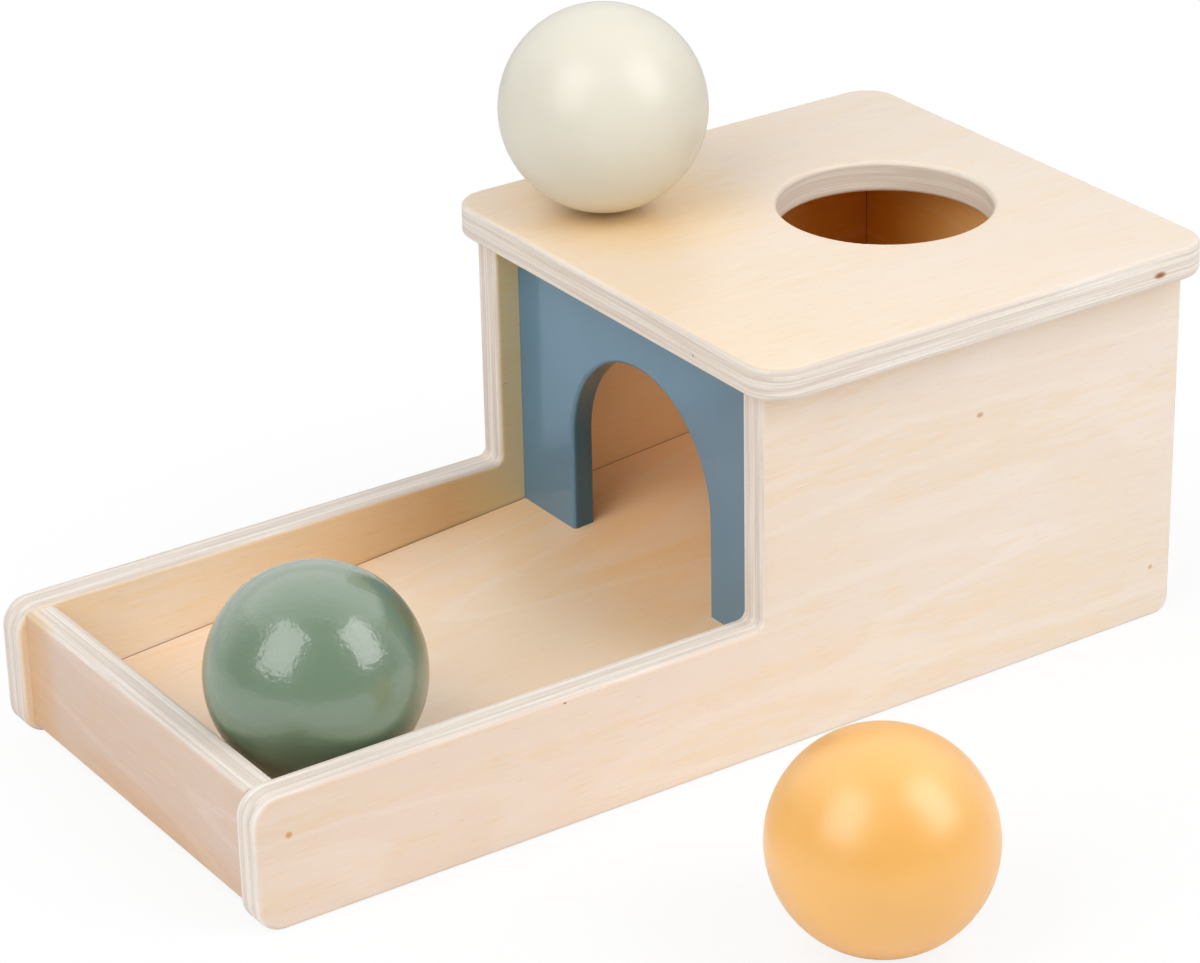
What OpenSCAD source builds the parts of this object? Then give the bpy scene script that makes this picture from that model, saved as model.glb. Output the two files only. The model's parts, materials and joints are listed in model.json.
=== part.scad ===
// Object permanence box in millimetres, Z up, standing on the bottom edges of its two side panels.
// A ball dropped through the lid lands on the inclined floor and rolls out of the arched doorway
// into the open tray. X runs from the tray end to the back, and the near side is at negative Y.

/* [Plywood] */
// Thickness of the plywood sheet that the sides, rail, floor, back and lid are cut from
ply_t = 8; // [7:0.5:10]
// Thickness of the painted arch panel
arch_t = 6; // [5:0.5:8]
// Radius that the plywood arrises are sanded to
arris_r = 1.2; // [0.6:0.1:2]

/* [Side panels] */
// Length of a side panel from the tray end to the back
side_len = 255.5; // [240:0.5:300]
// Clear width between the two side panels
inner_w = 100.5; // [92:0.5:130]
// Height of the low tray wall
low_h = 32.9; // [28:0.1:38]
// Height of the tall part, up to the underside of the lid
tall_h = 91; // [86:0.5:120]
// Length of the tray, from the tray end to the front edge of the tall part
tray_len = 133.2; // [110:0.1:140]
// Radius of the two corners at the tray end
front_corner_r = 6.5; // [4:0.5:9]
// Radius of the bottom corner at the back
back_corner_r = 4; // [3:0.5:8]
// Radius of the hollow where the tray wall runs up into the tall part
hollow_r = 2; // [1:0.5:10]

/* [End rail and back panel] */
// Distance of the end rail's outer face from the tray end
rail_setback = 2.5; // [1:0.5:6]
// Drop of the end rail's top edge below the tray walls
rail_drop = 1; // [0.5:0.1:4]
// Height of the end rail's and the back panel's bottom edges above the table
edge_lift = 2.7; // [1:0.1:5]
// Distance of the back panel's outer face from the back end
back_setback = 2; // [1:0.5:6]

/* [Ramp floor] */
// Height of the floor's upper face where it meets the end rail
floor_low_h = 11.3; // [10:0.1:14]
// Slope of the floor, in degrees
floor_slope = 4.6; // [2:0.1:6]

/* [Arched doorway] */
// Distance of the arch panel behind the front edges of the tall part
arch_setback = 6.5; // [3:0.5:12]
// Clear width of the doorway
arch_w = 56; // [55:0.5:62]
// Height of the doorway's straight jambs above the floor at the panel's front face
jamb_h = 24.5; // [22:0.5:30]

/* [Lid] */
// Overhang of the lid at the front and the back
lid_over_end = 3.5; // [2:0.5:8]
// Overhang of the lid beyond each side panel
lid_over_side = 7; // [2:0.5:12]
// Radius of the lid's corners
lid_corner_r = 9; // [5:0.5:14]
// Diameter of the drop hole
hole_d = 52; // [51.5:0.5:58]
// Distance of the hole's centre from the back panel's inner face
hole_from_back = 33.3; // [30:0.1:45]

/* [Balls] */
// Diameter of each ball
ball_d = 50; // [46:0.5:50.5]
// Distance of the cream ball's centre from the lid's front edge
cream_from_front = 27.2; // [26:0.1:32]
// Distance of the cream ball's centre from the lid's far edge
cream_from_far = 27.7; // [24:0.1:30]
// Distance of the yellow ball's centre from the tray end
yellow_from_end = 106.2; // [60:0.1:180]
// Free space on the table between the near side panel and the yellow ball
yellow_gap = 53.6; // [30:0.1:90]

/* [Dowels] */
// Diameter of the dowels in the plywood joints
dowel_d = 4; // [3:0.5:4]
// Diameter of the slimmer dowels in the arch panel
slim_dowel_d = 3; // [2.5:0.5:3]
// Length of every dowel
dowel_len = 16; // [14:0.5:18]
// Depth that a dowel goes into the face of a panel
dowel_sink = 5; // [3:0.5:5.5]

/* [Hidden] */
$fn = 96;

// Clearance that keeps a ball just off what it lies on or against
ball_gap = 0.3;
// Glue space round a dowel and beyond each of its ends
glue_gap = 0.05;
dowel_end_gap = 0.3;
// Chamfer on the ends of a dowel
dowel_chamfer = 0.5;
// Overrun of a cut past the face that it opens
overrun = 1;

// Where the dowels sit along each joint, from its low or front end
rail_dowel_shares = [0.3, 0.7];
floor_dowel_shares = [0.15, 0.5, 0.85];
back_dowel_shares = [0.15, 0.5, 0.85];
arch_dowel_shares = [0.2, 0.75];
lid_dowel_shares = [0.2, 0.8];

birch = [0.92, 0.82, 0.68];
blue_grey = [0.47, 0.55, 0.60];
cream = [0.93, 0.87, 0.75];
sage = [0.60, 0.68, 0.60];
amber = [0.93, 0.74, 0.42];
beech = [0.85, 0.70, 0.52];

ball_r = ball_d / 2;
tall_len = side_len - tray_len;
outer_w = inner_w + 2 * ply_t;
edge_band = 2 * arris_r;

rail_in = rail_setback + ply_t;
rail_h = low_h - rail_drop - edge_lift;
back_out = side_len - back_setback;
back_in = back_out - ply_t;
back_h = tall_h - edge_lift;

floor_run = back_in - rail_in;
floor_rise = tan(floor_slope);
floor_plumb_t = ply_t / cos(floor_slope);

arch_in = tray_len + arch_setback;
arch_r = arch_w / 2;
spring_h = floor_top(arch_in) + jamb_h;

lid_x = tray_len - lid_over_end;
lid_len = tall_len + 2 * lid_over_end;
lid_w = outer_w + 2 * lid_over_side;
lid_top = tall_h + ply_t;
hole_r = hole_d / 2;
hole_x = back_in - hole_from_back;

cream_at = [lid_x + cream_from_front, lid_w / 2 - cream_from_far, lid_top + ball_r + ball_gap];
green_x = rail_in + ball_r + ball_gap;
green_at = [
    green_x,
    -inner_w / 2 + ball_r + ball_gap,
    floor_top(green_x) + (ball_r + ball_gap) / cos(floor_slope)
];
yellow_at = [yellow_from_end, -outer_w / 2 - yellow_gap - ball_r, ball_r];

rail_spots = [for (s = rail_dowel_shares) [rail_in - ply_t / 2, edge_lift + s * rail_h]];
floor_spots = [
    for (s = floor_dowel_shares)
    let (x = rail_in + s * floor_run)
    [x, floor_top(x) - floor_plumb_t / 2]
];
back_spots = [for (s = back_dowel_shares) [back_in + ply_t / 2, edge_lift + s * back_h]];
arch_spots = [
    for (s = arch_dowel_shares)
    let (foot = floor_top(arch_in))
    [arch_in + arch_t / 2, foot + s * (tall_h - foot)]
];
lid_spots = [for (s = lid_dowel_shares) tray_len + s * tall_len];

// The origin is on the table, under the middle of the whole set with its balls
origin_x = (lid_x + lid_len) / 2;
origin_y = (lid_w / 2 + yellow_at[1] - ball_r) / 2;

// Height of the floor's upper face at a distance x from the tray end
function floor_top(x) = floor_low_h + (x - rail_in) * floor_rise;

// Section of a strip, w by t, with all four arrises sanded round
module strip_section(w, t) {
    translate([arris_r, 0]) square([w - 2 * arris_r, t]);
    translate([0, arris_r]) square([w, t - 2 * arris_r]);
    for (x = [arris_r, w - arris_r], y = [arris_r, t - arris_r])
        translate([x, y]) circle(arris_r);
}

// Section of a sheet of thickness t, w wide, whose edge at w is sanded round
module edge_section(w, t) {
    square([w - arris_r, t]);
    translate([0, arris_r]) square([w, t - 2 * arris_r]);
    for (y = [arris_r, t - arris_r])
        translate([w - arris_r, y]) circle(arris_r);
}

// The same section turned round: its sanded edge is at zero
module turned_edge_section(w, t) {
    translate([w, 0]) mirror([1, 0]) edge_section(w, t);
}

// A rounded corner of a sheet, a quarter turn from the given direction
module sheet_corner(r, t, from) {
    rotate(from) rotate_extrude(angle = 90) edge_section(r, t);
}

// The sanded edge of a round opening, over a given turn
module opening_edge(r, t, turn) {
    rotate_extrude(angle = turn) translate([r, 0]) turned_edge_section(edge_band, t);
}

// Sweeps a section along X: its first axis becomes Y and its second becomes Z
module along_x(len) {
    rotate([90, 0, 90]) linear_extrude(len) children();
}

// Sweeps a section along Y, downwards from y = 0: its first axis stays X and its second becomes Z
module down_y(len) {
    rotate([90, 0, 0]) linear_extrude(len) children();
}

// The L-shaped side panel, laid flat with its inner face at z = 0 and its height along Y
module side_sheet() {
    hollow_band = hollow_r + edge_band;
    // tray wall, from the tray end's corners to the hollow
    translate([front_corner_r, 0, 0])
        along_x(tray_len - hollow_r - front_corner_r) strip_section(low_h, ply_t);
    translate([0, low_h - front_corner_r, 0])
        down_y(low_h - 2 * front_corner_r) turned_edge_section(front_corner_r, ply_t);
    translate([front_corner_r, front_corner_r, 0]) sheet_corner(front_corner_r, ply_t, 180);
    translate([front_corner_r, low_h - front_corner_r, 0]) sheet_corner(front_corner_r, ply_t, 90);
    // foot of the tall part
    translate([tray_len - hollow_r, 0, 0])
        along_x(tall_len + hollow_r - back_corner_r) turned_edge_section(low_h - edge_band, ply_t);
    translate([side_len - back_corner_r, low_h - edge_band, 0])
        down_y(low_h - edge_band - back_corner_r) edge_section(back_corner_r, ply_t);
    translate([side_len - back_corner_r, back_corner_r, 0]) sheet_corner(back_corner_r, ply_t, -90);
    // hollow between the two
    difference() {
        translate([tray_len - hollow_r, low_h - edge_band, 0])
            cube([hollow_band, hollow_band, ply_t]);
        translate([tray_len - hollow_r, low_h + hollow_r, -overrun])
            cylinder(r = hollow_band, h = ply_t + 2 * overrun);
    }
    translate([tray_len - hollow_r, low_h + hollow_r, 0])
        rotate(-90) opening_edge(hollow_r, ply_t, 90);
    translate([tray_len + edge_band, low_h + hollow_r, 0])
        down_y(hollow_band) edge_section(tall_len - edge_band, ply_t);
    // tall part, square at the top where the lid is glued on
    translate([tray_len, tall_h, 0])
        down_y(tall_h - low_h - hollow_r) strip_section(tall_len, ply_t);
}

// A dowel across a joint at z = 0, sunk into the face of the panel below it
module dowel(d) {
    r = d / 2;
    translate([0, 0, -dowel_sink])
        rotate_extrude()
            polygon([
                [0, 0], [r - dowel_chamfer, 0], [r, dowel_chamfer],
                [r, dowel_len - dowel_chamfer], [r - dowel_chamfer, dowel_len], [0, dowel_len]
            ]);
}

// The pair of blind bores that one dowel is glued into
module dowel_bore(d) {
    translate([0, 0, -dowel_sink - dowel_end_gap])
        cylinder(d = d + 2 * glue_gap, h = dowel_len + 2 * dowel_end_gap);
}

// Joints across the near side panel's inner face, from the panel inwards
module at_near_face(spots) {
    for (s = spots)
        translate([s[0], -inner_w / 2, s[1]]) rotate([-90, 0, 0]) children();
}

// Joints between the near side panel's top edge and the lid, from the lid downwards
module at_near_top() {
    for (x = lid_spots)
        translate([x, -(inner_w + ply_t) / 2, tall_h]) rotate([180, 0, 0]) children();
}

module far() {
    mirror([0, 1, 0]) children();
}

module both_sides() {
    children();
    far() children();
}

// Near side panel: the L-shaped wall of the tray and the box
module near_side_panel() {
    color(birch)
        difference() {
            translate([0, -inner_w / 2, 0]) rotate([90, 0, 0]) side_sheet();
            at_near_face(concat(rail_spots, floor_spots, back_spots)) dowel_bore(dowel_d);
            at_near_face(arch_spots) dowel_bore(slim_dowel_d);
            at_near_top() dowel_bore(dowel_d);
        }
}

// Far side panel: the near one's mirror image
module far_side_panel() {
    far() near_side_panel();
}

// End rail: stops the ball at the low end of the tray
module end_rail() {
    color(birch)
        difference() {
            translate([rail_setback, inner_w / 2, edge_lift]) down_y(inner_w) strip_section(ply_t, rail_h);
            both_sides() at_near_face(rail_spots) dowel_bore(dowel_d);
        }
}

// Ramp floor: one inclined sheet from the end rail to the back panel, its ends cut plumb
module ramp_floor() {
    low = floor_top(rail_in);
    high = floor_top(back_in);
    color(birch)
        difference() {
            translate([0, inner_w / 2, 0])
                down_y(inner_w)
                    polygon([
                        [rail_in, low - floor_plumb_t], [back_in, high - floor_plumb_t],
                        [back_in, high], [rail_in, low]
                    ]);
            both_sides() at_near_face(floor_spots) dowel_bore(dowel_d);
        }
}

// Back panel: closes the box between the sides, its bottom edge sanded
module back_panel() {
    color(birch)
        difference() {
            translate([back_out, -inner_w / 2, tall_h])
                rotate([0, 90, 90]) linear_extrude(inner_w) edge_section(back_h, ply_t);
            both_sides() at_near_face(back_spots) dowel_bore(dowel_d);
        }
}

// The arch panel's sheet with its doorway, laid flat with its front face at z = 0:
// X runs from the near jamb to the far one, and Y is the height
module arch_sheet() {
    difference() {
        translate([-inner_w / 2, 0, 0]) cube([inner_w, tall_h, arch_t]);
        translate([-arch_r - edge_band, -overrun, -overrun])
            cube([arch_w + 2 * edge_band, spring_h + overrun, arch_t + 2 * overrun]);
        translate([0, spring_h, -overrun]) cylinder(r = arch_r + edge_band, h = arch_t + 2 * overrun);
    }
    translate([0, spring_h, 0]) opening_edge(arch_r, arch_t, 180);
    translate([arch_r, spring_h, 0]) down_y(spring_h) turned_edge_section(edge_band, arch_t);
    translate([-arch_r - edge_band, spring_h, 0]) down_y(spring_h) edge_section(edge_band, arch_t);
}

// Arch panel: the painted front of the box, standing on the floor with its foot cut to the slope
module arch_panel() {
    color(blue_grey)
        difference() {
            translate([arch_in, 0, 0]) rotate([90, 0, 90]) arch_sheet();
            translate([0, inner_w / 2 + overrun, 0])
                down_y(inner_w + 2 * overrun)
                    polygon([
                        [rail_in, -overrun], [back_in, -overrun],
                        [back_in, floor_top(back_in)], [rail_in, floor_top(rail_in)]
                    ]);
            both_sides() at_near_face(arch_spots) dowel_bore(slim_dowel_d);
        }
}

// The lid's sheet with its drop hole, standing on z = 0 with its front near corner at the origin
module lid_sheet() {
    core_len = lid_len - 2 * lid_corner_r;
    core_w = lid_w - 2 * lid_corner_r;
    hole_at = [hole_x - lid_x, lid_w / 2, 0];
    difference() {
        translate([lid_corner_r, lid_corner_r, 0]) cube([core_len, core_w, ply_t]);
        translate(hole_at)
            translate([0, 0, -overrun]) cylinder(r = hole_r + edge_band, h = ply_t + 2 * overrun);
    }
    translate(hole_at) opening_edge(hole_r, ply_t, 360);
    // front, back, near and far edges
    translate([0, lid_corner_r + core_w, 0]) down_y(core_w) turned_edge_section(lid_corner_r, ply_t);
    translate([lid_len - lid_corner_r, lid_corner_r + core_w, 0])
        down_y(core_w) edge_section(lid_corner_r, ply_t);
    translate([lid_corner_r, 0, 0]) along_x(core_len) turned_edge_section(lid_corner_r, ply_t);
    translate([lid_corner_r, lid_w - lid_corner_r, 0])
        along_x(core_len) edge_section(lid_corner_r, ply_t);
    // corners
    translate([lid_corner_r, lid_corner_r, 0]) sheet_corner(lid_corner_r, ply_t, 180);
    translate([lid_len - lid_corner_r, lid_corner_r, 0]) sheet_corner(lid_corner_r, ply_t, -90);
    translate([lid_len - lid_corner_r, lid_w - lid_corner_r, 0]) sheet_corner(lid_corner_r, ply_t, 0);
    translate([lid_corner_r, lid_w - lid_corner_r, 0]) sheet_corner(lid_corner_r, ply_t, 90);
}

// Lid: glued and dowelled onto the side panels' top edges
module lid() {
    color(birch)
        difference() {
            translate([lid_x, -lid_w / 2, tall_h]) lid_sheet();
            both_sides() at_near_top() dowel_bore(dowel_d);
        }
}

// Cream ball: lies on the lid
module cream_ball() {
    color(cream) translate(cream_at) sphere(d = ball_d);
}

// Green ball: lies in the tray against the end rail and the near wall
module green_ball() {
    color(sage) translate(green_at) sphere(d = ball_d);
}

// Yellow ball: lies on the table beside the box
module yellow_ball() {
    color(amber) translate(yellow_at) sphere(d = ball_d);
}

// Dowels of each joint on the near side, with the far ones as their mirror images
module rail_dowels_near() {
    color(beech) at_near_face(rail_spots) dowel(dowel_d);
}

module rail_dowels_far() {
    far() rail_dowels_near();
}

module floor_dowels_near() {
    color(beech) at_near_face(floor_spots) dowel(dowel_d);
}

module floor_dowels_far() {
    far() floor_dowels_near();
}

module back_dowels_near() {
    color(beech) at_near_face(back_spots) dowel(dowel_d);
}

module back_dowels_far() {
    far() back_dowels_near();
}

module arch_dowels_near() {
    color(beech) at_near_face(arch_spots) dowel(slim_dowel_d);
}

module arch_dowels_far() {
    far() arch_dowels_near();
}

module lid_dowels_near() {
    color(beech) at_near_top() dowel(dowel_d);
}

module lid_dowels_far() {
    far() lid_dowels_near();
}

// Moves the set from the tray end's middle to its own origin
module placed() {
    translate([-origin_x, -origin_y, 0]) children();
}

placed() near_side_panel();
placed() far_side_panel();
placed() end_rail();
placed() ramp_floor();
placed() back_panel();
placed() arch_panel();
placed() lid();
placed() cream_ball();
placed() green_ball();
placed() yellow_ball();
placed() rail_dowels_near();
placed() rail_dowels_far();
placed() floor_dowels_near();
placed() floor_dowels_far();
placed() back_dowels_near();
placed() back_dowels_far();
placed() arch_dowels_near();
placed() arch_dowels_far();
placed() lid_dowels_near();
placed() lid_dowels_far();
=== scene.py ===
"""An object permanence box: a plywood ball-drop box with an open tray, a doorway and three loose balls."""
import json
import math

import bmesh
import bpy
from mathutils import Euler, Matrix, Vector


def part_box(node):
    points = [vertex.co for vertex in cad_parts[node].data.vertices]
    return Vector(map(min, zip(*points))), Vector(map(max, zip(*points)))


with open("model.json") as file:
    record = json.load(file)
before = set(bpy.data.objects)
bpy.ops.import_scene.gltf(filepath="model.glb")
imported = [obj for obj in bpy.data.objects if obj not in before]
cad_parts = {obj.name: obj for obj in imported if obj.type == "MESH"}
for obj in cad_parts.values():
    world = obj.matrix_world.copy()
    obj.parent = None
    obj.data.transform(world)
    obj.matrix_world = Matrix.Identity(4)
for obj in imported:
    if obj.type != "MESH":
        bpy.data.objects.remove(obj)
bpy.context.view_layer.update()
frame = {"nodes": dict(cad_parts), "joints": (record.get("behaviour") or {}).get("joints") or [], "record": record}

# Side panels
# Two L-shaped walls sawn from birch plywood, low along the tray and tall along the box.
# Every edge is sanded round, which bares the plies. The outer faces carry a pale satin lacquer, and
# the inner faces are only oiled. Their colours carry painted shade: the outer faces are darker towards the
# tray's end, and the inner faces are painted warmer and darker for the shade and warm bounce light inside,
# the most so in the closed box.
lid_low, lid_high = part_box("lid")
ply_thickness = lid_high.z - lid_low.z
ply_line_shares = (0.185, 0.37, 0.63, 0.815)
glue_line_share = 0.03


def tint(red, green, blue):
    """A display colour, 0 to 255, as the linear colour that a shader takes."""
    parts = [c / 255 for c in (red, green, blue)]
    return [c / 12.92 if c <= 0.04045 else ((c + 0.055) / 1.055) ** 2.4 for c in parts] + [1]


def wire(tree, kind, sockets, **options):
    """Adds a shader node, sets its options and feeds each socket a plain value or another node's output."""
    made = tree.nodes.new("ShaderNode" + kind)
    for option, value in options.items():
        setattr(made, option, value)
    for socket, value in sockets.items():
        if isinstance(value, bpy.types.NodeSocket):
            tree.links.new(value, made.inputs[socket])
        else:
            made.inputs[socket].default_value = value
    return made


def calc(tree, operation, *values):
    """One sum on plain numbers."""
    return wire(tree, "Math", dict(enumerate(values)), operation=operation).outputs[0]


def vector(tree, operation, *values):
    """One sum on vectors."""
    return wire(tree, "VectorMath", dict(enumerate(values)), operation=operation).outputs[0]


def ease(tree, value, start, end, low=0.0, high=1.0):
    """Goes smoothly from low to high as the value goes from start to end, and stays within them."""
    limits = {"Value": value, 1: start, 2: end, 3: low, 4: high}
    return wire(tree, "MapRange", limits, interpolation_type="SMOOTHSTEP").outputs[0]


def length(tree, away):
    """How long a vector is."""
    return wire(tree, "VectorMath", {0: away}, operation="LENGTH").outputs["Value"]


def blend(tree, share, first, second, way="MIX"):
    """Lays the second colour over the first by a share."""
    return wire(tree, "Mix", {0: share, 6: first, 7: second}, data_type="RGBA", blend_type=way).outputs[2]


def new_finish(name):
    """A new finish, its node tree and its main shader."""
    finish = bpy.data.materials.new(name)
    finish.use_nodes = True
    return finish, finish.node_tree, finish.node_tree.nodes["Principled BSDF"]


def own_axes(tree, coordinate, centre, turn):
    """The surface's place, or its normal, in the piece's own axes."""
    point = wire(tree, "TexCoord", {}).outputs[coordinate]
    place = {"Vector": point, "Location": centre, "Rotation": [math.radians(a) for a in turn]}
    return wire(tree, "Mapping", place, vector_type="TEXTURE").outputs["Vector"]


def noise(tree, point, pitch, cut, detail=2.0):
    """Cloudy variation from 0 to 1 whose patches are about one pitch long on each axis."""
    cloud = {"Vector": vector(tree, "DIVIDE", point, pitch), "W": cut, "Scale": 1.0, "Detail": detail}
    return wire(tree, "TexNoise", cloud, noise_dimensions="4D").outputs[0]


def ramp(tree, share, stops):
    """The colours of a list of stops along a share from 0 to 1."""
    made = wire(tree, "ValToRGB", {0: share})
    steps = made.color_ramp.elements
    while len(steps) < len(stops):
        steps.new(1.0)
    while len(steps) > len(stops):
        steps.remove(steps[-1])
    for step, (place, colour) in zip(steps, stops):
        step.position = place
        step.color = colour
    return made.outputs[0]


def veneer(tree, sheet, pale, figure, streaks, cut):
    """Rotary-cut birch: bands of warm dashes along the grain, faint growth rings, fine fibres and pores."""
    sway_reach, ring_spread = 0.004, 42.0
    warm = blend(tree, 1.0, pale, tint(255, 248, 232), "MULTIPLY")
    sway = calc(tree, "MULTIPLY", noise(tree, sheet, (0.09, 0.03, 0.05), cut), sway_reach)
    grain = vector(tree, "ADD", sheet, wire(tree, "CombineXYZ", {1: sway}).outputs[0])
    rings = noise(tree, grain, (0.14, 0.03, 0.03), cut + 1, 1.0)
    ring = calc(tree, "SINE", calc(tree, "MULTIPLY", rings, ring_spread))
    cloud = noise(tree, sheet, (0.06, 0.024, 0.02), cut + 2, 3.0)
    band = noise(tree, grain, (0.16, 0.0065, 0.02), cut + 3)
    dash = calc(tree, "ADD", band, noise(tree, grain, (0.009, 0.0011, 0.01), cut + 4, 3.0))
    fibre = noise(tree, grain, (0.010, 0.00045, 0.004), cut + 5)
    pore = noise(tree, grain, (0.0030, 0.00024, 0.004), cut + 6, 1.0)
    face = blend(tree, ease(tree, cloud, 0.36, 0.64, 0, streaks * 0.5), pale, warm)
    face = blend(tree, ease(tree, dash, 0.96, 1.24, 0, streaks), face, warm)
    face = blend(tree, ease(tree, ring, 0.5, 1.0, 0, figure), face, tint(255, 250, 246))
    face = blend(tree, ease(tree, fibre, 0.52, 0.78, 0, 0.3), face, tint(243, 233, 220), "MULTIPLY")
    face = blend(tree, ease(tree, fibre, 0.46, 0.22, 0, 0.1), face, tint(255, 248, 240))
    return blend(tree, ease(tree, pore, 0.66, 0.78, 0, 0.5), face, tint(236, 216, 194), "MULTIPLY"), fibre


def ply_edge(tree, sheet, facing, cut):
    """A sanded edge of five crossed plies: those that are cut across their own grain look paler."""
    ply_wander = 0.0002
    through = wire(tree, "SeparateXYZ", {0: sheet}).outputs[2]
    wobble = noise(tree, sheet, (0.035, 0.035, 0.02), cut)
    level = calc(tree, "ADD", through, ease(tree, wobble, 0.25, 0.75, -ply_wander, ply_wander))
    stops = []
    for index, line in enumerate(ply_line_shares):
        before, after = (index + 1) % 2, index % 2
        stops.append((line - glue_line_share, (before, before, before, 1)))
        stops.append((line + glue_line_share, (after, after, after, 1)))
    face_ply = ramp(tree, calc(tree, "MULTIPLY_ADD", level, 1 / ply_thickness, 0.5), stops)
    along, across, _ = wire(tree, "SeparateXYZ", {0: vector(tree, "ABSOLUTE", facing)}).outputs
    end_cut = ease(tree, calc(tree, "SUBTRACT", along, across), -0.3, 0.3)
    cross_ply = calc(tree, "SUBTRACT", 1, face_ply)
    pale_ply = wire(tree, "Mix", {0: end_cut, 2: cross_ply, 3: face_ply}).outputs[0]
    glue = calc(tree, "SUBTRACT", 1, calc(tree, "ABSOLUTE", calc(tree, "MULTIPLY_ADD", face_ply, 2, -1)))
    sawn = noise(tree, sheet, (0.03, 0.03, 0.0004), cut + 1, 3.0)
    grit = noise(tree, sheet, (0.0012, 0.0012, 0.0006), cut + 2, 2.0)
    edge = blend(tree, pale_ply, tint(226, 213, 201), tint(237, 227, 216))
    edge = blend(tree, ease(tree, glue, 0.3, 1.0, 0, 0.4), edge, tint(196, 177, 162))
    edge = blend(tree, ease(tree, sawn, 0.5, 0.68, 0, 0.45), edge, tint(204, 187, 174))
    edge = blend(tree, ease(tree, sawn, 0.5, 0.32, 0, 0.55), edge, tint(250, 246, 242))
    return blend(tree, ease(tree, grit, 0.5, 0.75, 0, 0.2), edge, tint(206, 190, 176)), sawn


def birch_plywood(name, node, turn, outside, inside, figure, streaks, cut, marks_and_painted_light=(), joint=None, hole=None):
    """Plywood in the sheet's own axes: X along the face grain, Y across it and Z to the outer face."""
    finish, tree, shader = new_finish(name)
    low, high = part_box(node)
    sheet = own_axes(tree, "Object", (low + high) / 2, turn)
    facing = own_axes(tree, "Normal", (0, 0, 0), turn)
    along, across, through = wire(tree, "SeparateXYZ", {0: sheet}).outputs

    # the lacquered outer face and the oiled inner one, whose tones change along the sheet; most of the
    # tones given are painted shade and warm bounce light
    span = Euler([math.radians(a) for a in turn]).to_matrix().transposed() @ (high - low)
    share = calc(tree, "MULTIPLY_ADD", along, 1 / abs(span.x), 0.5)
    core_half = 0.0005
    inner = ease(tree, through, core_half, -core_half)
    tone = blend(tree, inner, ramp(tree, share, outside), ramp(tree, share, inside))
    face, fibre = veneer(tree, sheet, tone, figure, streaks, cut)

    edge, sawn = ply_edge(tree, sheet, facing, cut + 7)

    # the bored hole's plies are painted lighter and creamier, a painted light on the hole's shaded wall
    if hole:
        centre, radius = hole
        rim_start, rim_end = radius + 0.004, radius + 0.002
        away = vector(tree, "MULTIPLY", vector(tree, "SUBTRACT", sheet, centre), (1, 1, 0))
        rim_painted_light = ease(tree, length(tree, away), rim_start, rim_end, 0, 0.25)
        edge = blend(tree, rim_painted_light, edge, tint(255, 239, 214))

    # the face veneer ends where the rounded edge turns away from it
    outward = calc(tree, "ABSOLUTE", wire(tree, "SeparateXYZ", {0: facing}).outputs[2])
    flat = ease(tree, outward, 0.66, 0.98)
    colour = blend(tree, flat, edge, face)

    # small marks: pin knots and a chipped ply, and warmer patches that are painted bounce light and shade
    for place, size, shade in marks_and_painted_light:
        away = vector(tree, "DIVIDE", vector(tree, "SUBTRACT", sheet, place), size)
        colour = blend(tree, ease(tree, length(tree, away), 1.0, 0.3), colour, shade, "MULTIPLY")

    # a hairline of shade where the sheet butts against its neighbours
    if joint:
        line_start, line_end = 0.0005, 0.0001
        half, reach = {"along": (span.x / 2, along), "across": (span.y / 2, across)}[joint]
        gap = calc(tree, "SUBTRACT", abs(half), calc(tree, "ABSOLUTE", reach))
        colour = blend(tree, ease(tree, gap, line_start, line_end, 0, 0.9), colour, tint(118, 64, 28))

    # the face is satin, with a fine relief along its fibres, and the sanded edge is duller
    edge_gloss, fibre_depth = 0.58, 0.0001
    face_gloss = ease(tree, fibre, 0.3, 0.7, 0.32, 0.40)
    polish = wire(tree, "Mix", {0: flat, 2: edge_gloss, 3: face_gloss}).outputs[0]
    relief = wire(tree, "Mix", {0: flat, 2: sawn, 3: fibre}).outputs[0]
    bump = wire(tree, "Bump", {"Strength": 0.12, "Distance": fibre_depth, "Height": relief})
    tree.links.new(colour, shader.inputs["Base Color"])
    tree.links.new(polish, shader.inputs["Roughness"])
    tree.links.new(bump.outputs[0], shader.inputs["Normal"])
    return finish


def dress(node, finish):
    """Gives a piece its finish."""
    frame["nodes"][node].material_slots[0].material = finish


near_low, near_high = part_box("near_side_panel")
near_middle = (near_low + near_high) / 2

# pin knots and a dark fleck, at their places on the near panel's outer face
near_marks = []
for place_x, place_z, size, shade in (
        (0.0654, 0.0692, (0.0014, 0.0009, 0.001), tint(224, 192, 168)),
        (-0.1211, 0.0228, (0.0012, 0.0011, 0.001), tint(226, 200, 146)),
        (0.1195, 0.0137, (0.0009, 0.0008, 0.001), tint(238, 196, 152)),
        (-0.0504, 0.0316, (0.0006, 0.0003, 0.001), tint(130, 104, 84))):
    mark_place = (place_x - near_middle.x, place_z - near_middle.z, ply_thickness / 2)
    near_marks.append((mark_place, size, shade))

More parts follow.
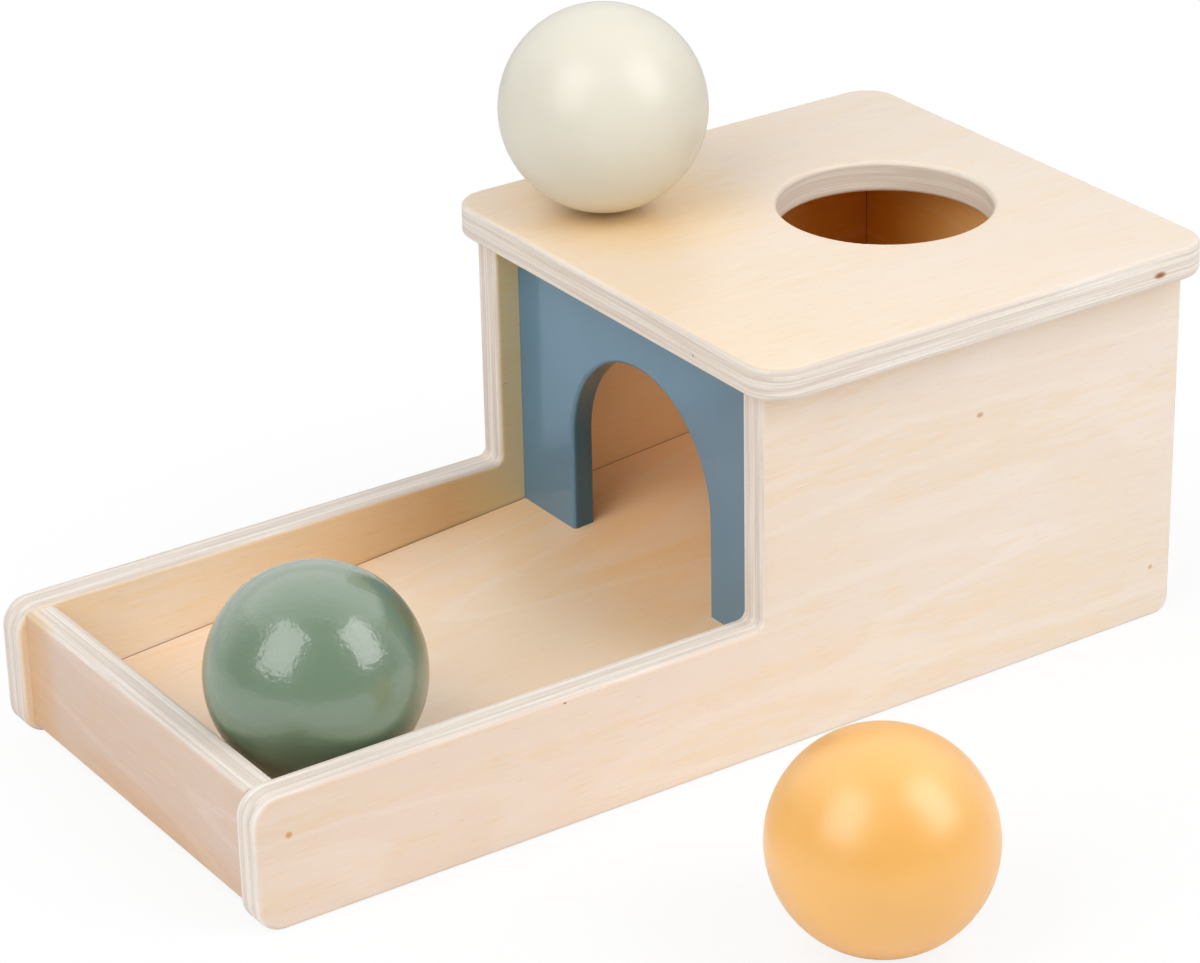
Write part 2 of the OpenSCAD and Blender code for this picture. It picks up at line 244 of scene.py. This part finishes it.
# the tones, each at a share of the panel's length from the tray's end. They are painted shade: the outer
# face darker towards the tray's end, and the inner face warmer and darker towards the closed box
side_outside_painted_shade = [
    (0.0, tint(233, 212, 195)), (0.3, tint(239, 220, 203)),
    (0.55, tint(239, 223, 208)), (1.0, tint(237, 223, 210)),
]
side_inside_painted_shade = [
    (0.15, tint(252, 233, 209)), (0.35, tint(248, 213, 168)), (0.46, tint(232, 195, 144)),
    (0.54, tint(231, 216, 173)), (0.62, tint(255, 216, 168)), (0.76, tint(255, 213, 162)),
    (0.89, tint(227, 153, 52)), (0.96, tint(227, 153, 52)), (0.985, tint(237, 223, 210)),
]
dress("near_side_panel", birch_plywood(
    "near side birch", "near_side_panel", (90, 0, 0), side_outside_painted_shade, side_inside_painted_shade,
    figure=0.1, streaks=0.8, cut=3.1, marks_and_painted_light=near_marks))
dress("far_side_panel", birch_plywood(
    "far side birch", "far_side_panel", (-90, 0, 0), side_outside_painted_shade, side_inside_painted_shade,
    figure=0.04, streaks=0.8, cut=17.4))

# End rail
# A low plywood strip across the tray's outer end, which stops the ball. It is glued and dowelled
# between the side panels, with its grain running from one to the other. Its outer face is painted
# warmer at the far end, as painted bounce light from the far panel, and is warmer along the lower edge.
# warm patches: the far end's is painted bounce light, and the lower edge is made warmer
rail_warmth_and_painted_bounce = [
    ((-0.048, 0, ply_thickness / 2), (0.014, 0.06, 0.004), tint(255, 238, 208)),
    ((0.004, -0.015, ply_thickness / 2), (0.06, 0.012, 0.004), tint(255, 242, 224)),
]
rail_outside = [(0, tint(218, 193, 177))]
rail_inside = [(0, tint(246, 220, 190))]
dress("end_rail", birch_plywood(
    "rail birch", "end_rail", (90, 0, -90), rail_outside, rail_inside,
    figure=0.08, streaks=0.7, cut=31.7, marks_and_painted_light=rail_warmth_and_painted_bounce))

# Ramp floor
# One inclined sheet from the end rail up to the back of the box, so that a dropped ball rolls out.
# It butts against both side panels, and a hairline of shade shows along each joint. The green ball
# rolls up it, so that ball's path gives the slope.
roll = next(j for j in frame["joints"] if j["name"] == "green_ball_roll")["axis"]
floor_slope = math.degrees(math.atan2(roll[2], roll[0]))
# the inner face's tones are painted shade and warm bounce light, warmer and darker towards the closed box
floor_inside_painted_shade = [
    (0.1, tint(239, 215, 191)), (0.42, tint(248, 223, 195)), (0.52, tint(248, 211, 168)),
    (0.6, tint(253, 211, 162)), (0.78, tint(255, 214, 165)), (0.95, tint(240, 186, 122)),
]
dress("ramp_floor", birch_plywood(
    "floor birch", "ramp_floor", (180, -floor_slope, 0), side_outside_painted_shade, floor_inside_painted_shade,
    figure=0.12, streaks=0.7, cut=47.9, joint="across"))

# Back panel
# The plain plywood sheet that closes the box, let in between the side panels under the lid and
# glued and dowelled to them. From the front only its inner face shows, through the hole in the lid.
# the inner face is painted warm shade, deepening to dark orange along the sheet
back_inside_painted_shade = [(0.25, tint(251, 210, 152)), (0.9, tint(227, 152, 48))]
dress("back_panel", birch_plywood(
    "back birch", "back_panel", (90, 0, 90), side_outside_painted_shade, back_inside_painted_shade,
    figure=0.03, streaks=0.8, cut=58.2, joint="along"))


# Arch panel
# The front of the box: plywood with an arched doorway, sprayed blue-grey before it was glued in.
# The lacquer is glossy, and mirrors the tray and the room with the faint ripple of sprayed paint.
# The sawn edges of the doorway are painted darker, a painted shade on the doorway's shaded sides.
def spray_lacquer(name, node, colour, shade, gloss, coat, coat_ior, coat_gloss, ripple, cut,
                  edge_painted_shade=None):
    """A sprayed coat: nearly even colour, a shine that varies a little, and a fine orange-peel ripple."""
    cloud_pitch, gloss_drift = 0.024, 0.1
    peel_pitch, peel_depth = 0.0011, 0.00006
    finish, tree, shader = new_finish(name)
    low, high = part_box(node)
    point = own_axes(tree, "Object", (low + high) / 2, (0, 0, 0))
    cloud = noise(tree, point, [cloud_pitch] * 3, cut, 3.0)
    tone = blend(tree, ease(tree, cloud, 0.32, 0.68), colour, shade)
    # painted shade: faces that do not look along the panel's X, such as the doorway's sides, are darkened
    if edge_painted_shade:
        facing = vector(tree, "ABSOLUTE", own_axes(tree, "Normal", (0, 0, 0), (0, 0, 0)))
        edge = ease(tree, wire(tree, "SeparateXYZ", {0: facing}).outputs[0], 0.8, 0.4)
        tone = blend(tree, edge, tone, edge_painted_shade)
    tree.links.new(tone, shader.inputs["Base Color"])
    shine = ease(tree, cloud, 0.3, 0.7, gloss * (1 - gloss_drift), gloss * (1 + gloss_drift))
    tree.links.new(shine, shader.inputs["Roughness"])
    shader.inputs["Coat Weight"].default_value = coat
    shader.inputs["Coat IOR"].default_value = coat_ior
    shader.inputs["Coat Roughness"].default_value = coat_gloss
    peel = noise(tree, point, [peel_pitch] * 3, cut + 1, 1.0)
    bump = wire(tree, "Bump", {"Strength": ripple, "Distance": peel_depth, "Height": peel})
    tree.links.new(bump.outputs[0], shader.inputs["Normal"])
    tree.links.new(bump.outputs[0], shader.inputs["Coat Normal"])
    return finish


dress("arch_panel", spray_lacquer(
    "blue-grey lacquer", "arch_panel", tint(92, 136, 164), tint(88, 132, 160), gloss=0.33,
    coat=0.7, coat_ior=1.5, coat_gloss=0.06, ripple=0.002, cut=5.3, edge_painted_shade=tint(46, 98, 122)))

# Lid
# A square plywood sheet with rounded corners and the drop hole, glued and dowelled onto the tall walls.
# The hole's wall shows the plies as rings, and one ply has a small chip at the near edge.
lid_middle = (lid_low + lid_high) / 2
lid_chip = Vector((0.1125, lid_low.y, 0.0943)) - lid_middle
lid_fleck = Vector((lid_low.x, 0.0116, 0.0938)) - lid_middle
# a warm patch around where the cream ball rests: painted warm shade and bounce light from the ball
lid_painted_warm_shade = Vector((0.034, 0.084, lid_high.z)) - lid_middle
lid_marks_and_painted_shade = [
    (lid_chip, (0.0024, 0.001, 0.0011), tint(178, 116, 78)),
    (lid_fleck, (0.001, 0.0005, 0.0005), tint(192, 172, 146)),
    (lid_painted_warm_shade, (0.038, 0.046, 0.02), tint(255, 243, 214)),
]
lid_outside = [(0.0, tint(242, 221, 195)), (0.3, tint(239, 221, 201)), (1.0, tint(237, 222, 206))]
lid_inside = [(0, tint(250, 230, 202))]
drop_hole = next(m for m in frame["record"]["mounts"] if m["name"] == "drop_hole")
hole_centre = Vector(drop_hole["pos_m"]) - lid_middle
hole_radius = drop_hole["dims"]["r_mm"] / 1000
dress("lid", birch_plywood(
    "lid birch", "lid", (0, 0, 0), lid_outside, lid_inside,
    figure=0.04, streaks=0.5, cut=71.3, marks_and_painted_light=lid_marks_and_painted_shade, hole=(hole_centre, hole_radius)))


# Dowels
# Short plain beech pins glued into blind bores across every joint, out of sight once it is closed.
# Beech is pinker and denser than the birch of the sheets, with small dark flecks along its grain.
def dowel_beech(name):
    """Plain beech along the dowel's own length, with the dark flecks that beech has."""
    finish, tree, shader = new_finish(name)
    point = own_axes(tree, "Object", (0, 0, 0), (0, 0, 0))
    streak = noise(tree, point, (0.0011, 0.006, 0.0011), 2.6, 3.0)
    fleck = noise(tree, point, (0.0003, 0.0012, 0.0003), 9.6, 1.0)
    colour = blend(tree, streak, tint(217, 178, 133), tint(199, 156, 110))
    colour = blend(tree, ease(tree, fleck, 0.62, 0.75, 0, 0.5), colour, tint(150, 104, 66))
    tree.links.new(colour, shader.inputs["Base Color"])
    tree.links.new(ease(tree, streak, 0.3, 0.7, 0.55, 0.7), shader.inputs["Roughness"])
    return finish


beech = dowel_beech("dowel beech")
for joint in ("rail", "floor", "back", "arch", "lid"):
    for side in ("near", "far"):
        dress(f"{joint}_dowels_{side}", beech)

# Balls
# Three turned wooden balls, filled and sprayed in cream, sage green and soft orange-yellow lacquer.
# They are loose: one lies on the lid, one in the tray and one on the table.
dress("cream_ball", spray_lacquer(
    "cream lacquer", "cream_ball", tint(226, 221, 205), tint(223, 218, 201),
    gloss=0.6, coat=0.6, coat_ior=1.5, coat_gloss=0.24, ripple=0.03, cut=81.5))
dress("green_ball", spray_lacquer(
    "sage lacquer", "green_ball", tint(111, 134, 109), tint(107, 130, 105),
    gloss=0.38, coat=1.0, coat_ior=1.6, coat_gloss=0.14, ripple=1.5, cut=92.5))
dress("yellow_ball", spray_lacquer(
    "amber lacquer", "yellow_ball", tint(247, 184, 87), tint(245, 179, 81),
    gloss=0.5, coat=1.0, coat_ior=1.7, coat_gloss=0.34, ripple=0.03, cut=103.5))

# Table and studio
# A plain white table that runs on into a white room behind the toy. Two upright softboxes, to the left and
# to the right of the camera, light it, and a wide card hung behind and above it shows only as a shine.
view_azimuth = -33.748


def towards(azimuth, elevation):
    """Unit direction from the object: azimuth 0 is the near side, and 90 the back end."""
    turn, rise = math.radians(azimuth), math.radians(elevation)
    return Vector((math.sin(turn) * math.cos(rise), -math.cos(turn) * math.cos(rise), math.sin(rise)))


table_size = 4.0
table_mesh = bpy.data.meshes.new("table")
table_shape = bmesh.new()
bmesh.ops.create_grid(table_shape, x_segments=1, y_segments=1, size=table_size / 2)
table_shape.to_mesh(table_mesh)
table_shape.free()
table = bpy.data.objects.new("table", table_mesh)
bpy.context.scene.collection.objects.link(table)

# the table shows white to the camera, with a share of its own shade close to the toy
white_card, card, card_shader = new_finish("white card")
card.nodes.remove(card_shader)
paths = wire(card, "LightPath", {}).outputs
seen = calc(card, "ADD", paths["Is Camera Ray"], paths["Is Transmission Ray"])
place = wire(card, "TexCoord", {}).outputs["Object"]
glow_share = calc(card, "MULTIPLY", seen, ease(card, length(card, place), 0.08, 0.24, 0.84, 1.0))
matt = wire(card, "BsdfDiffuse", {"Color": (0.9, 0.9, 0.9, 1)}).outputs[0]
glow = wire(card, "Emission", {"Color": (1, 1, 1, 1), "Strength": 1.0}).outputs[0]
surface = wire(card, "MixShader", {0: glow_share, 1: matt, 2: glow}).outputs[0]
card.links.new(surface, card.nodes["Material Output"].inputs["Surface"])
table_mesh.materials.append(white_card)

# the room is white to the camera and dimmer as a light, and a shine mirrors most of it from behind the toy
fill_at_horizon, fill_rise = 0.22, 0.38
room = bpy.data.worlds.new("white room")
bpy.context.scene.world = room
room.use_nodes = True
air = room.node_tree
paths = wire(air, "LightPath", {}).outputs
direction = wire(air, "TexCoord", {}).outputs["Generated"]
behind = {0: direction, 1: towards(view_azimuth + 180, 0)}
backdrop = wire(air, "VectorMath", behind, operation="DOT_PRODUCT").outputs["Value"]
mirrored = ease(air, backdrop, -0.1, 0.5, 0.2, 1.0)
above = calc(air, "MAXIMUM", wire(air, "SeparateXYZ", {0: direction}).outputs[2], 0)
fill = calc(air, "MULTIPLY_ADD", above, fill_rise, fill_at_horizon)
seen = calc(air, "ADD", paths["Is Camera Ray"], paths["Is Transmission Ray"])
lit = wire(air, "Mix", {0: seen, 2: fill, 3: 1.0}).outputs[0]
strength = wire(air, "Mix", {0: paths["Is Glossy Ray"], 2: lit, 3: mirrored}).outputs[0]
air.links.new(strength, air.nodes["Background"].inputs["Strength"])
air.nodes["Background"].inputs["Color"].default_value = (1, 1, 1, 1)


def hang(name, azimuth, elevation, width, height, power):
    """Hangs a soft rectangle of light a good arm's length from the toy, facing it."""
    subject, distance = Vector((0.0069, 0.0605, 0.0417)), 0.95
    lamp = bpy.data.lights.new(name, "AREA")
    lamp.shape = "RECTANGLE"
    lamp.size = width
    lamp.size_y = height
    lamp.energy = power
    hung = bpy.data.objects.new(name, lamp)
    bpy.context.scene.collection.objects.link(hung)
    hung.location = subject + distance * towards(azimuth, elevation)
    hung.rotation_euler = (-towards(azimuth, elevation)).to_track_quat("-Z", "Y").to_euler()
    hung.visible_camera = False
    return hung


hang("left softbox", azimuth=-77, elevation=41, width=0.60, height=0.82, power=4.5)
hang("right softbox", azimuth=32, elevation=39, width=0.53, height=0.75, power=4.2)
shine_card = hang("shine card", azimuth=view_azimuth + 180, elevation=66, width=2.6, height=1.45, power=7.5)
shine_card.visible_diffuse = False

# Camera
# A short telephoto on a stand, a metre from the toy and a little above it.
# It looks in over the tray's near corner, with a slight tilt of the horizon.
lens = bpy.data.cameras.new("camera")
lens.sensor_fit = "HORIZONTAL"
lens.sensor_width = 36
lens.lens = 124.70
camera = bpy.data.objects.new("camera", lens)
bpy.context.scene.collection.objects.link(camera)
view_elevation, view_roll, view_distance = 25.768, -1.264, 1.0
aim = Vector((0.01248, 0.06837, 0.03713))
sight = towards(view_azimuth, view_elevation)
camera.location = aim + view_distance * sight
level_turn = (-sight).to_track_quat("-Z", "Y")
camera.rotation_euler = (level_turn @ Euler((0, 0, math.radians(view_roll))).to_quaternion()).to_euler()
bpy.context.scene.camera = camera
bpy.context.scene.view_settings.view_transform = "Standard"
